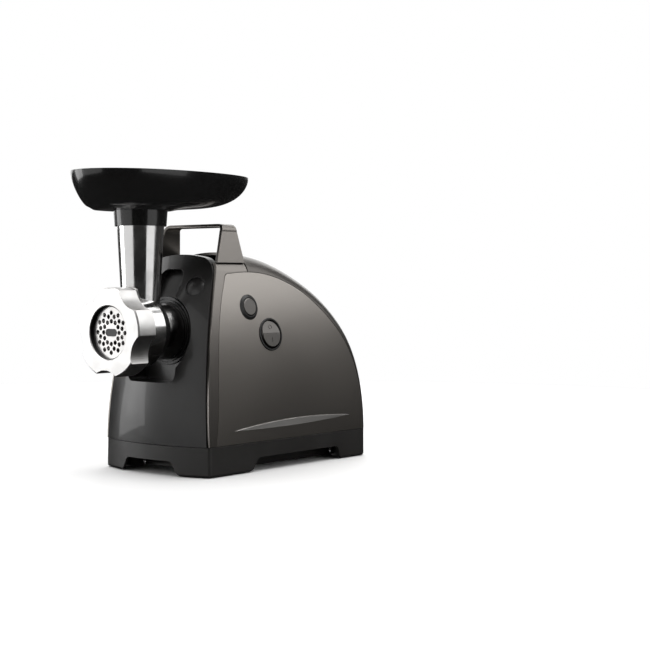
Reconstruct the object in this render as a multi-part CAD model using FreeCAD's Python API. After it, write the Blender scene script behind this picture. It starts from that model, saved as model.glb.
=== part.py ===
import FreeCAD, Part
import os
from math import acos, atan2, cos, hypot, pi, radians, sin, tan

# Electric meat grinder. Millimetres, +Z up, +Y towards the rear, +X towards the switches.
# The origin is on the table under the middle of the grinder's box.

Vec = FreeCAD.Vector
ALONG_X = Vec(1, 0, 0)
ALONG_Y = Vec(0, 1, 0)
ALONG_Z = Vec(0, 0, 1)
FAR = 400.0

# ---- driving dimensions of the body ----
BASE_HALF_WIDTH = 80.0
LEAN = 5.4e-4                   # the sides lean in by LEAN * height squared
CROWN_HEIGHT = 239.5
FRONT_STATIONS = (-92.0, -60.0, -30.0)
BOTTOM_STATION_END = 130.0
# the body's outline on its middle plane, from above the handle to the rear foot: (y, z)
REAR_OUTLINE = [(0, 239.5), (25, 236.6), (60, 226.8), (90, 213.5), (118, 197), (143, 176),
                (164, 150), (178, 119), (185.5, 83), (188, 42), (187, 0)]
CROWN_RISE_TOP = 7.0
CROWN_RISE_REAR = 1.5
CORNER_TOP = 15.0
CORNER_REAR = 12.0

# the front of the body: height, y at the side edges, y on the middle plane
FRONT_OUTLINE = [(0, -82.5, -98), (50, -82.8, -98), (97, -79.2, -96.5), (143, -71, -88.5),
                 (190, -57.5, -74), (222, -45, -55.5), (244, -37, -38)]
FRONT_BACK_Y = -36.4

WALL = 3.0
SEAM = 0.5
SKIRT_TOP = 32.0
SKIRT_BOTTOM = 0.6
PANEL_BOTTOM = SKIRT_TOP + SEAM

# the side panel's edges as seen from the side: (y, z)
PANEL_FRONT = [(-71.8, PANEL_BOTTOM), (-61, 122), (-48.5, 179), (-36.5, 207)]
PANEL_CORNER = [(-36.5, 207), (-33.5, 213.2), (-26, 215)]
PANEL_TOP = [(-26, 215), (3, 216.6), (34.6, 213.7), (63, 205.8), (91, 193), (112, 178.7),
             (134, 160), (155.5, 134), (168, 108), (175, 82), (179, PANEL_BOTTOM)]
BAND_FRONT = [(-82.6, PANEL_BOTTOM), (-79.2, 97), (-61, 177), (-43.2, 226.8)]
BAND_REAR_Y = 2.6

HANDLE_SEAM = 227.0
HANDLE_TOP = 269.6
HANDLE_FRONT = (-43.0, -26.5)   # y at the seam and at the top
HANDLE_REAR = (0.5, -7.0)
HANDLE_HALF_TOP = 45.0
HANDLE_THICKNESS = 3.6
HANDLE_CORNER = 8.5
HANDLE_EDGE = 0.8

# ---- driving dimensions of the mincing head ----
HEAD_Z = 153.0
PLATE_FRONT_Y = -148.0
PLATE_THICKNESS = 5.0
PLATE_RADIUS = 31.0
NUT_FRONT_Y = -153.0
NUT_REAR_Y = -128.4
NUT_LOBE_RADIUS = 47.4
NUT_VALLEY_RADIUS = 39.6
NUT_SCOOP_RADIUS = 27.0
NUT_OPENING_RADIUS = 27.5
NUT_LIP_EDGE = 1.5
NUT_LOBES = 5
NUT_LOBE_ANGLE = 86.0
BARREL_RADIUS = 38.6
NECK_RADIUS = 31.0
BORE_RADIUS = 27.5
BARREL_REAR_Y = -48.0
THROAT_Y = -106.5
THROAT_TOP = 281.0
THROAT_TOP_RADIUS = 25.0
THROAT_CONE_TOP = 265.0
THROAT_CONE_BOTTOM = 165.0
THROAT_BOTTOM_RADIUS = 19.4
THROAT_WALL = 2.0
TRAY_MIDDLE_Y = -74.5
TRAY_HALF_LENGTH = 113.5
TRAY_HALF_WIDTH = 67.0
TRAY_TOP = 322.0
TRAY_FLOOR = 282.0
TRAY_WALL = 2.4
# the tray's sections: share of its height, and how far each lies inside the rim at the
# front, the rear and the sides
TRAY_SECTIONS = [(0, 27, 112, 30), (0.12, 18, 64, 17), (0.32, 11, 27, 8.5), (0.62, 4.2, 7.5, 3),
                 (1, 0, 0, 0)]

# ---- driving dimensions of the gear train ----
PRESSURE_ANGLE = radians(20)
ADDENDUM = 0.8
DEDENDUM = 1.1
BACKLASH = 0.16
STAGE_1 = {"module": 1.0, "pinion": 14, "wheel": 56, "angle": 247.3}
STAGE_2 = {"module": 1.25, "pinion": 14, "wheel": 49, "angle": -24.94}
STAGE_3 = {"module": 1.5, "pinion": 14, "wheel": 56, "angle": 245.0}
GEARBOX_FRONT = -38.5
GEARBOX_REAR = 9.0
OUTPUT_ROOM_REAR = -21.0
PIN_RADIUS = 3.0
RUNNING_GAP = 0.05


def save(name, shape):
    shape.exportStep("parts/" + name + ".step")


def box(x_range, y_range, z_range):
    size = [high - low for low, high in (x_range, y_range, z_range)]
    return Part.makeBox(*size, Vec(x_range[0], y_range[0], z_range[0]))


def rod(radius, y_start, y_end, centre=(0, 0)):
    """A cylinder along Y; centre is its x and z."""
    return Part.makeCylinder(radius, y_end - y_start, Vec(centre[0], y_start, centre[1]), ALONG_Y)


def ring(outer, inner, y_start, y_end, centre=(0, 0)):
    return rod(outer, y_start, y_end, centre).cut(rod(inner, y_start - 1, y_end + 1, centre))


def upright(radius, z_start, z_end, centre):
    """A cylinder along Z; centre is its x and y."""
    return Part.makeCylinder(radius, z_end - z_start, Vec(centre[0], centre[1], z_start), ALONG_Z)


def fuse_all(shapes):
    shapes = list(shapes)
    result = shapes[0]
    if len(shapes) > 1:
        result = result.multiFuse(shapes[1:])
    return result.removeSplitter()


def mirrored(shape):
    return shape.mirror(Vec(0, 0, 0), ALONG_X)


def turned(profile, centre_z=HEAD_Z, centre_x=0.0):
    """A solid of revolution about an axis along Y, from (radius, y) corners."""
    corners = [Vec(centre_x + radius, y, centre_z) for radius, y in profile]
    face = Part.Face(Part.makePolygon(corners + corners[:1]))
    return face.revolve(Vec(centre_x, 0, centre_z), ALONG_Y, 360)


def curve_through(points):
    spline = Part.BSplineCurve()
    spline.interpolate(points)
    return spline.toShape()


def bezier(points):
    curve = Part.BezierCurve()
    curve.setPoles(points)
    return curve.toShape()


def side_prism(edges, x_low, x_high):
    """A prism along X over an outline drawn from the side. Each edge is a list of (y, z)
    points: two give a straight line, more give a smooth curve."""
    shapes = []
    for edge in edges:
        points = [Vec(x_low, y, z) for y, z in edge]
        if len(points) == 2:
            shapes.append(Part.makeLine(*points))
        else:
            shapes.append(curve_through(points))
    face = Part.Face(Part.Wire(shapes))
    return face.extrude(Vec(x_high - x_low, 0, 0))


def half_width(height):
    return BASE_HALF_WIDTH - LEAN * height ** 2


# ---- the body's outer form ----

def body_section(bottom_y, crown_y, crown_z, rise, corner, inset):
    """One arch across the body, in the plane from its bottom line to its crown point."""
    angle = atan2(crown_z, crown_y - bottom_y)
    top = hypot(crown_z, crown_y - bottom_y) - inset
    edge = top - rise
    start = edge - corner
    lean = LEAN * sin(angle) ** 2

    def side(level):
        return BASE_HALF_WIDTH - inset - lean * level ** 2

    def place(x, level):
        return Vec(x, bottom_y + level * cos(angle), level * sin(angle))

    crown_x = side(edge) - corner
    crown_level = top - rise * (crown_x / side(edge)) ** 2
    crown_slope = -2 * rise * crown_x / side(edge) ** 2
    reach = 0.55 * corner
    low = (side(0), 0)
    middle = (side(0), start / 2)
    shoulder = (side(start), start)
    shoulder_1 = (side(start) - 2 * lean * start * reach, start + reach)
    shoulder_2 = (crown_x + reach, crown_level + crown_slope * reach)
    crown = (crown_x, crown_level)
    peak = (0, 2 * top - crown_level)

    def right(points):
        return [place(x, level) for x, level in points]

    def left(points):
        return [place(-x, level) for x, level in reversed(points)]

    wall = [low, middle, shoulder]
    shoulder_curve = [shoulder, shoulder_1, shoulder_2, crown]
    over = [place(*crown), place(*peak), place(-crown[0], crown[1])]
    edges = [Part.makeLine(place(-low[0], 0), place(*low)), bezier(right(wall)),
             bezier(right(shoulder_curve)), bezier(over), bezier(left(shoulder_curve)),
             bezier(left(wall))]
    return Part.Wire(edges)


def envelope(inset=0.0):
    """The body's outer form without its domed front, moved inwards by the inset."""
    sections = [body_section(y, y, CROWN_HEIGHT, CROWN_RISE_TOP, CORNER_TOP, inset)
                for y in FRONT_STATIONS]
    last = len(REAR_OUTLINE) - 1
    for index, (y, z) in enumerate(REAR_OUTLINE):
        share = index / last
        rise = CROWN_RISE_TOP + (CROWN_RISE_REAR - CROWN_RISE_TOP) * share
        corner = CORNER_TOP + (CORNER_REAR - CORNER_TOP) * share
        sections.append(body_section(BOTTOM_STATION_END * share, y, z, rise, corner, inset))
    return Part.makeLoft(sections, True, False)


def dome(depth=0.0, back_y=FRONT_BACK_Y):
    """The domed front as a solid closed at the back, its face moved back by the depth."""
    sections = []
    for z, side_y, centre_y in FRONT_OUTLINE:
        width = half_width(z)
        corners = [Vec(-width, side_y + depth, z), Vec(0, centre_y + depth, z),
                   Vec(width, side_y + depth, z)]
        back = [Vec(width, back_y, z), Vec(-width, back_y, z)]
        edges = [Part.Arc(*corners).toShape(), Part.makeLine(corners[2], back[0]),
                 Part.makeLine(back[0], back[1]), Part.makeLine(back[1], corners[0])]
        sections.append(Part.Wire(edges))
    return Part.makeLoft(sections, True, False)


def arch(inset):
    """The body's arched outline from the front, as a prism through the front part."""
    section = body_section(FRONT_STATIONS[0], FRONT_STATIONS[0], CROWN_HEIGHT,
                           CROWN_RISE_TOP, CORNER_TOP, inset)
    face = Part.Face(section)
    face.translate(Vec(0, -30, 0))
    return face.extrude(Vec(0, 140, 0))


OUTER = envelope()
INNER = envelope(WALL)
SHELL = OUTER.cut(INNER)


# ---- frames for pieces set in a tilted surface ----

def frame_at(centre, normal, right):
    """Places a shape whose +Z is the surface's outward normal and whose +X is right."""
    up = normal.cross(right)
    turn = FreeCAD.Rotation(right, up, normal, "ZXY")
    return FreeCAD.Placement(centre, turn)


def placed(shape, placement):
    copy = shape.copy()
    copy.Placement = placement.multiply(copy.Placement)
    return copy


def side_frame(y, z):
    tilt = atan2(2 * LEAN * z, 1)
    normal = Vec(cos(tilt), 0, sin(tilt))
    return frame_at(Vec(half_width(z), y, z), normal, ALONG_Y)


REVERSE_FRAME = side_frame(-4.5, 178.3)
POWER_FRAME = side_frame(25.3, 147.9)
RELEASE_YAW = radians(20)
RELEASE_PITCH = radians(25)
RELEASE_X = 37.4
RELEASE_Z = 201.6


def release_frame():
    normal = Vec(sin(RELEASE_YAW) * cos(RELEASE_PITCH), -cos(RELEASE_YAW) * cos(RELEASE_PITCH),
                 sin(RELEASE_PITCH))
    right = Vec(cos(RELEASE_YAW), sin(RELEASE_YAW), 0)
    line = Part.makeLine(Vec(RELEASE_X, -FAR, RELEASE_Z), Vec(RELEASE_X, FRONT_BACK_Y, RELEASE_Z))
    hit = min(vertex.Y for vertex in dome().common(line).Vertexes)
    return frame_at(Vec(RELEASE_X, hit, RELEASE_Z), normal, right)


RELEASE_FRAME = release_frame()
REVERSE_OPENING = 14.1
REVERSE_RADIUS = 9.9
REVERSE_PROUD = 2.4
POWER_OPENING = 18.4
POWER_RADIUS = 16.0
RELEASE_OPENING = 12.0
RELEASE_RADIUS = 10.2


def plug(radius, low, high, placement):
    """A cylinder along a surface's normal, from low to high over the surface."""
    cylinder = Part.makeCylinder(radius, high - low, Vec(0, 0, low), ALONG_Z)
    return placed(cylinder, placement)


# ---- outer pieces ----

def panel_edges(gap):
    """The side panel's outline from the side, grown by the gap along its front and top."""
    front = [(y - gap, z) for y, z in PANEL_FRONT]
    corner = [(y - gap, z + gap) for y, z in PANEL_CORNER]
    top = [(y, z + gap) for y, z in PANEL_TOP]
    front[0] = (front[0][0], PANEL_BOTTOM)
    top[-1] = (PANEL_TOP[-1][0] + gap, PANEL_BOTTOM)
    return [front, [front[-1], corner[1], top[0]], top, [top[-1], front[0]]]


def side_panel():
    panel = SHELL.common(side_prism(panel_edges(0.0), 30, FAR))
    for placement, radius in ((REVERSE_FRAME, REVERSE_OPENING), (POWER_FRAME, POWER_OPENING)):
        panel = panel.cut(plug(radius, -20, 20, placement))
    return panel


def plain_side_panel():
    return mirrored(SHELL.common(side_prism(panel_edges(0.0), 30, FAR)))


def band_outline():
    top = [BAND_FRONT[-1], (BAND_REAR_Y - 2, BAND_FRONT[-1][1])]
    rear = [top[-1], (BAND_REAR_Y, 214)]
    low = [rear[-1], (-10, 190)]
    front_low = (PANEL_FRONT[0][0], PANEL_BOTTOM)
    inner = [low[-1], front_low]
    return [BAND_FRONT, top, rear, low, inner, [front_low, BAND_FRONT[0]]]


def band():
    """The warm grey strip that frames the front and widens into the handle's foot."""
    strip = SHELL.common(side_prism(band_outline(), 30, FAR))
    strip = strip.cut(side_prism(panel_edges(SEAM), 0, FAR))
    return strip.cut(carry_handle())


VENT_LEVELS = range(6)
VENT_PITCH = 7.0
VENT_HEIGHT = 3.0
VENT_HALF_WIDTH = 26.0
GLAND_Z = 44.0
GLAND_RADIUS = 7.0


def top_cover():
    """The convex cover over the top and down the rear, with vents low at the rear."""
    front_y = FRONT_BACK_Y + SEAM
    region = box((-FAR, FAR), (front_y, FAR), (PANEL_BOTTOM, FAR))
    cover = SHELL.common(region)
    for grown in (side_prism(panel_edges(SEAM), 30, FAR), side_prism(panel_edges(SEAM), -FAR, -30)):
        cover = cover.cut(grown)
    leg_block = box((-FAR, FAR), (front_y - 1, BAND_REAR_Y + SEAM), (190, FAR))
    cover = cover.cut(leg_block.cut(handle_form(HANDLE_THICKNESS + SEAM)))
    for level in VENT_LEVELS:
        low = 62 + level * VENT_PITCH
        cover = cover.cut(box((-VENT_HALF_WIDTH, VENT_HALF_WIDTH), (150, FAR),
                              (low, low + VENT_HEIGHT)))
    cover = cover.cut(rod(GLAND_RADIUS, 150, FAR, (0, GLAND_Z)))
    return max(cover.Solids, key=lambda solid: solid.Volume)


CHANNEL_HALF_WIDTH = 18.0
CHANNEL_DEPTH = 8.0
CHANNEL_TOP = 220.0
CHANNEL_CORNER = 10.0
RECESS_RADIUS = 47.5
RECESS_Z = 146.0
RECESS_FLOOR_Y = -66.0
SILL_HALF_WIDTH = 36.0
SILL_Z = 98.5
SILL_CORNER = 9.0
SOCKET_RADIUS = 37.3
INSIDE_BACK_Y = 0.0


def channel(grown):
    half = CHANNEL_HALF_WIDTH + grown
    slot = box((-half, half), (-FAR, 0), (HEAD_Z, CHANNEL_TOP + grown))
    upper = [edge for edge in slot.Edges
             if edge.BoundBox.ZMin > HEAD_Z + 1 and edge.BoundBox.XLength < 1]
    slot = slot.makeFillet(CHANNEL_CORNER + grown, upper)
    return slot.cut(dome(CHANNEL_DEPTH + grown, INSIDE_BACK_Y))


def recess(grown):
    """The round pocket about the head's neck, squared off below into a flat sill."""
    floor_y = RECESS_FLOOR_Y + grown
    half = SILL_HALF_WIDTH + grown
    sill = box((-half, half), (-FAR, floor_y), (SILL_Z - grown, RECESS_Z))
    lower = [edge for edge in sill.Edges
             if edge.BoundBox.ZMax < RECESS_Z - 1 and edge.BoundBox.XLength < 1]
    sill = sill.makeFillet(SILL_CORNER + grown, lower)
    return sill.fuse(rod(RECESS_RADIUS + grown, -FAR, floor_y, (0, RECESS_Z)))


def front_cover():
    """The glossy front: a dome with a channel behind the throat and a recess round the neck."""
    outside = dome().common(arch(WALL + 0.4)).cut(channel(0)).cut(recess(0))
    inside = dome(WALL, INSIDE_BACK_Y).common(arch(2 * WALL + 0.4))
    inside = inside.cut(channel(WALL)).cut(recess(WALL))
    cover = outside.cut(inside)
    cover = cover.cut(rod(SOCKET_RADIUS, -FAR, FAR, (0, HEAD_Z)))
    cover = cover.cut(box((-FAR, FAR), (-FAR, FAR), (-1, PANEL_BOTTOM)))
    cover = cover.cut(plug(RELEASE_OPENING, -12, 20, RELEASE_FRAME))
    return max(cover.Solids, key=lambda solid: solid.Volume)


def handle_form(inset):
    """The space under the handle's outer face, moved inwards by the inset."""
    y_low, y_high = HANDLE_FRONT[0], HANDLE_REAR[0]
    foot = half_width(HANDLE_SEAM) - inset
    top_half = HANDLE_HALF_TOP - inset
    top = HANDLE_TOP - inset
    corner = HANDLE_CORNER - inset
    slope = (foot - top_half) / (HANDLE_TOP - HANDLE_SEAM)
    right = [Vec(foot, y_low, HANDLE_SEAM), Vec(top_half + slope * corner, y_low, top - corner)]
    bend = [right[1], Vec(top_half + 0.2 * corner, y_low, top - 0.3 * corner),
            Vec(top_half - 0.3 * corner, y_low, top), Vec(top_half - corner, y_low, top)]
    left = [Vec(-point.x, point.y, point.z) for point in reversed(bend)]
    foot_left = Vec(-foot, y_low, HANDLE_SEAM)
    edges = [Part.makeLine(*right), bezier(bend), Part.makeLine(bend[-1], left[0]),
             bezier(left), Part.makeLine(left[-1], foot_left),
             Part.makeLine(foot_left, right[0])]
    return Part.Face(Part.Wire(edges)).extrude(Vec(0, y_high - y_low, 0))


def carry_handle():
    """A thin wide band that arches over the body, with tabs that reach inside it."""
    loop = handle_form(0).cut(handle_form(HANDLE_THICKNESS))
    side_shape = [[(HANDLE_FRONT[0], HANDLE_SEAM), (HANDLE_FRONT[1], HANDLE_TOP)],
                  [(HANDLE_FRONT[1], HANDLE_TOP), (HANDLE_REAR[1], HANDLE_TOP)],
                  [(HANDLE_REAR[1], HANDLE_TOP), (HANDLE_REAR[0], HANDLE_SEAM)],
                  [(HANDLE_REAR[0], HANDLE_SEAM), (HANDLE_FRONT[0], HANDLE_SEAM)]]
    loop = loop.common(side_prism(side_shape, -FAR, FAR))
    long_edges = [edge for edge in loop.Edges if edge.BoundBox.XLength > 60
                  or edge.BoundBox.ZLength > 20]
    loop = loop.makeFillet(HANDLE_EDGE, long_edges)
    tabs = []
    inner = half_width(HANDLE_SEAM) - HANDLE_THICKNESS
    for sign in (1, -1):
        for reach, low in ((-0.6, 208), (0.8, HANDLE_SEAM)):
            x_range = sorted((sign * (inner - 3.6), sign * (inner + reach)))
            tabs.append(box(x_range, (-30, -8), (low, HANDLE_SEAM + 2)))
    return fuse_all([loop] + tabs)


# ---- base ----

FOOT_PLACES = [(62, -58), (-62, -58), (58, 160), (-58, 160)]
FOOT_RADIUS = 9.0
FOOT_HEIGHT = 4.0
# the finger cut-outs with softened corners: the long one through both sides as (y, z), and
# the front one as (x, z)
SIDE_CUT = [[(-27, 0), (-18.5, 1.6), (-14.5, 5)], [(-14.5, 5), (-9.5, 11.2)],
            [(-9.5, 11.2), (-6, 14.6), (-1, 15.6)], [(-1, 15.6), (124, 15.6)],
            [(124, 15.6), (129.5, 14.2), (131.5, 10)], [(131.5, 10), (133, 5)],
            [(133, 5), (135.5, 1.4), (141, 0)], [(141, 0), (-27, 0)]]
FRONT_CUT = [[(-51, 0), (-44, 1.4), (-40.5, 4.5)], [(-40.5, 4.5), (-36.5, 11)],
             [(-36.5, 11), (-34, 14.6), (-29, 16)], [(-29, 16), (29, 16)],
             [(29, 16), (34, 14.6), (36.5, 11)], [(36.5, 11), (40.5, 4.5)],
             [(40.5, 4.5), (44, 1.4), (51, 0)], [(51, 0), (-51, 0)]]
SKIRT_CORNER = 4.0
SKIRT_EDGE = 2.6
PLATE_UNDER = 16.6
PLATE_OVER = 19.0


def skirt_outline(z, inset):
    """The foot's plan at one height: a bowed front, straight sides and a round-cornered rear."""
    width = half_width(z) - inset
    front_side = FRONT_OUTLINE[0][1] + inset
    front_middle = FRONT_OUTLINE[0][2] + inset
    foot_y, low_y = REAR_OUTLINE[-1][0], REAR_OUTLINE[-2][0]
    rear = foot_y + (low_y - foot_y) * z / REAR_OUTLINE[-2][1] - inset
    crown_x = width - CORNER_REAR
    crown_y = rear - CROWN_RISE_REAR * (crown_x / width) ** 2
    crown_slope = -2 * CROWN_RISE_REAR * crown_x / width ** 2
    start_y = rear - CROWN_RISE_REAR - CORNER_REAR
    reach = 0.55 * CORNER_REAR
    corner = [(width, start_y), (width, start_y + reach),
              (crown_x + reach, crown_y + crown_slope * reach), (crown_x, crown_y)]
    right = [Vec(x, y, z) for x, y in corner]
    left = [Vec(-x, y, z) for x, y in reversed(corner)]
    peak = Vec(0, 2 * rear - crown_y, z)
    ends = [Vec(-width, front_side, z), Vec(width, front_side, z)]
    bow = Part.Arc(ends[0], Vec(0, front_middle, z), ends[1]).toShape()
    return Part.Wire([bow, Part.makeLine(ends[1], right[0]), bezier(right),
                      bezier([right[-1], peak, left[0]]), bezier(left),
                      Part.makeLine(left[-1], ends[0])])


def skirt_form(inset, low=SKIRT_BOTTOM, high=SKIRT_TOP):
    return Part.makeLoft([skirt_outline(low, inset), skirt_outline(high, inset)], True, True)


def rounded_skirt():
    """The foot's full form with its front corners and its lower edge rounded."""
    form = skirt_form(0)
    upright_edges = [edge for edge in form.Edges
                     if edge.BoundBox.ZLength > 20 and edge.BoundBox.YMax < -70]
    form = form.makeFillet(SKIRT_CORNER, upright_edges)
    lower = [edge for edge in form.Edges if edge.BoundBox.ZMax < SKIRT_BOTTOM + 0.1]
    return form.makeFillet(SKIRT_EDGE, lower)


def base_housing():
    """The skirt round the foot, with finger cut-outs, and a post over each rubber foot."""
    skirt = rounded_skirt().cut(skirt_form(WALL, 0, SKIRT_TOP + 1))
    skirt = skirt.cut(side_prism(SIDE_CUT, -FAR, FAR))
    front_cut = side_prism(FRONT_CUT, 0, FAR - 60)
    front_cut.rotate(Vec(0, 0, 0), ALONG_Z, -90)
    skirt = skirt.cut(front_cut)
    posts = []
    for place in FOOT_PLACES:
        post = upright(FOOT_RADIUS + 2, SKIRT_BOTTOM, SKIRT_TOP, place)
        posts.append(post.cut(upright(FOOT_RADIUS, 0, FOOT_HEIGHT, place)))
        reach_x = (place[0], 77) if place[0] > 0 else (-77, place[0])
        web = box(reach_x, (place[1] - 2, place[1] + 2), (20, SKIRT_TOP))
        posts.append(web)
    posts = fuse_all(posts).common(skirt_form(0.5))
    return fuse_all([skirt, posts])


# a low wall under the plate that keeps splashes off the vents: x, y and z ranges
GUARD_OUTER = ((-50, 50), (-52, 150), (2.5, PLATE_OVER))
GUARD_INNER = ((-47.6, 47.6), (-49.6, 147.6), (0, PLATE_OVER + 1))


def bottom_plate():
    """The floor of the body, with vents under the motor and a guard wall round them."""
    floor = skirt_form(WALL + 0.3, PLATE_UNDER, PLATE_OVER)
    for place in FOOT_PLACES:
        floor = floor.cut(upright(FOOT_RADIUS + 2.3, 0, FAR, place))
    for index in range(8):
        y = 40 + index * 8
        floor = floor.cut(box((-22, 22), (y, y + 3.5), (0, FAR)))
    guard = box(*GUARD_OUTER).cut(box(*GUARD_INNER))
    return fuse_all([floor, guard])


def rubber_feet():
    feet = []
    for place in FOOT_PLACES:
        foot = upright(FOOT_RADIUS, 0, FOOT_HEIGHT, place)
        rim = [edge for edge in foot.Edges if edge.BoundBox.ZMax < 0.1]
        feet.append(foot.makeFillet(0.8, rim))
    return Part.makeCompound(feet)


SCREW_PLACES = [(40, -60), (-40, -60), (40, 140), (-40, 140)]


def bottom_screws():
    screws = []
    for place in SCREW_PLACES:
        head = upright(3.6, PLATE_UNDER - 2.0, PLATE_UNDER, place)
        slot_x = box((place[0] - 2.2, place[0] + 2.2), (place[1] - 0.4, place[1] + 0.4),
                     (0, PLATE_UNDER - 1.0))
        slot_y = box((place[0] - 0.4, place[0] + 0.4), (place[1] - 2.2, place[1] + 2.2),
                     (0, PLATE_UNDER - 1.0))
        screws.append(head.cut(slot_x).cut(slot_y))
    return Part.makeCompound(screws)


BLADE_TIPS = [(-43, 46.8), (153, 50.6)]


def trim_blade():
    """A slim crescent of bright metal low on the side panel."""
    lower = [BLADE_TIPS[0], (60, 46.4), BLADE_TIPS[1]]
    upper = [BLADE_TIPS[1], (64, 54), BLADE_TIPS[0]]
    skin = envelope(-0.8).cut(OUTER)
    return skin.common(side_prism([lower, upper], 30, FAR))


# ---- switches and buttons on the switch side and the front ----

BEZEL_DEPTH = 7.6
BUTTON_GAP = 0.3


def reverse_bezel():
    """A collar whose cone stands proud of the panel about the small round button."""
    cup = Part.makeCylinder(REVERSE_OPENING, BEZEL_DEPTH, Vec(0, 0, -BEZEL_DEPTH), ALONG_Z)
    flank = Part.makeCone(REVERSE_OPENING, REVERSE_RADIUS + 1.2, REVERSE_PROUD - 0.8,
                          Vec(0, 0, 0), ALONG_Z)
    hole = Part.makeCylinder(REVERSE_RADIUS + BUTTON_GAP, 20, Vec(0, 0, -10), ALONG_Z)
    return placed(cup.fuse(flank).cut(hole), REVERSE_FRAME)


def reverse_button():
    cap = Part.makeCylinder(REVERSE_RADIUS, 7.4 + REVERSE_PROUD, Vec(0, 0, -7.4), ALONG_Z)
    rim = [edge for edge in cap.Edges if edge.BoundBox.ZMin > 1]
    cap = cap.makeFillet(1.4, rim)
    stem = Part.makeCylinder(3.0, 5, Vec(0, 0, -12), ALONG_Z)
    return placed(cap.fuse(stem), REVERSE_FRAME)


def power_bezel():
    rim = Part.makeCylinder(POWER_OPENING, 8.6, Vec(0, 0, -7.6), ALONG_Z)
    rim = rim.makeFillet(0.8, [edge for edge in rim.Edges if edge.BoundBox.ZMin > 0.5])
    hole = Part.makeCylinder(POWER_RADIUS + 0.3, 20, Vec(0, 0, -10), ALONG_Z)
    return placed(rim.cut(hole), POWER_FRAME)


ROCKER_PIVOT_DEPTH = -6.0
ROCKER_TILT = 6.0
ROCKER_RIDGE = 2.0
ROCKER_SLOPE = 5.0
MARK_RADIUS = 2.7
MARK_LINE = 0.7
MARK_OFFSET = 7.2
MARK_DEPTH = 0.35


def power_rocker():
    """A round rocker cut from a ball about its pivot. Its two faces slope away from a middle
    groove and carry the engraved off ring and on bar."""
    pivot = Vec(0, 0, ROCKER_PIVOT_DEPTH)
    ball = Part.makeSphere(POWER_RADIUS, pivot)
    slab = Part.makeBox(40, 40, 9.6, Vec(-20, -20, -5.0))
    rocker = ball.common(slab)
    ridge = Vec(0, 0, ROCKER_RIDGE)
    mark_low = ROCKER_RIDGE - MARK_DEPTH
    off_mark = Part.makeCylinder(MARK_RADIUS, 4, Vec(0, MARK_OFFSET, mark_low), ALONG_Z)
    off_mark = off_mark.cut(Part.makeCylinder(MARK_RADIUS - MARK_LINE, 4,
                                              Vec(0, MARK_OFFSET, mark_low), ALONG_Z))
    on_mark = Part.makeBox(MARK_LINE, 2 * MARK_RADIUS, 4,
                           Vec(-MARK_LINE / 2, -MARK_OFFSET - MARK_RADIUS, mark_low))
    for angle, side, mark in ((-ROCKER_SLOPE, 0, off_mark), (ROCKER_SLOPE, -40, on_mark)):
        wedge = Part.makeBox(60, 40, 20, Vec(-30, side, ROCKER_RIDGE)).fuse(mark)
        wedge.rotate(ridge, ALONG_X, angle)
        rocker = rocker.cut(wedge)
    rocker = rocker.cut(Part.makeBox(40, MARK_LINE, 4, Vec(-20, -MARK_LINE / 2, mark_low - 0.4)))
    rocker.rotate(pivot, ALONG_X, -ROCKER_TILT)
    return placed(rocker, POWER_FRAME)


def switch_body(placement, half_width_local, depth_top, depth):
    body = Part.makeBox(2 * half_width_local, 2 * half_width_local, depth,
                        Vec(-half_width_local, -half_width_local, depth_top - depth))
    pins = []
    for step in (-1, 0, 1):
        pins.append(Part.makeBox(2.4, 0.8, 6.4, Vec(-1.2, step * 6 - 0.4, depth_top - depth - 6)))
    return placed(fuse_all([body] + pins), placement)


def release_bezel():
    cup = Part.makeCylinder(RELEASE_OPENING - 0.1, 7.6, Vec(0, 0, -8), ALONG_Z)
    cut = Part.makeCylinder(RELEASE_RADIUS + 0.3, 30, Vec(0, 0, -15), ALONG_Z)
    return placed(cup.cut(cut), RELEASE_FRAME)


def release_button():
    cap = Part.makeCylinder(RELEASE_RADIUS, 8, Vec(0, 0, -7.5), ALONG_Z)
    ball_radius = 40.0
    ball = Part.makeSphere(ball_radius, Vec(0, 0, -ball_radius))
    cap = cap.common(ball)
    tongue = Part.makeCylinder(3.0, 4, Vec(0, 0, -11), ALONG_Z)
    return placed(cap.fuse(tongue), RELEASE_FRAME)


# ---- mincing head ----

def thread_profile(crest, root, y_start, y_end, pitch):
    """Zigzag corners (radius, y) for a thread seen in section, from y_start to y_end."""
    corners = []
    turns = int((y_end - y_start) / pitch)
    for index in range(turns):
        low = y_start + index * pitch
        corners.append((root, low))
        corners.append((crest, low + 0.5 * pitch))
    corners.append((root, y_start + turns * pitch))
    return corners


THREAD_RADIUS = 36.3
THREAD_DEPTH = 1.2
THREAD_PITCH = 3.0
RIM_Y = -145.0


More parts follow.
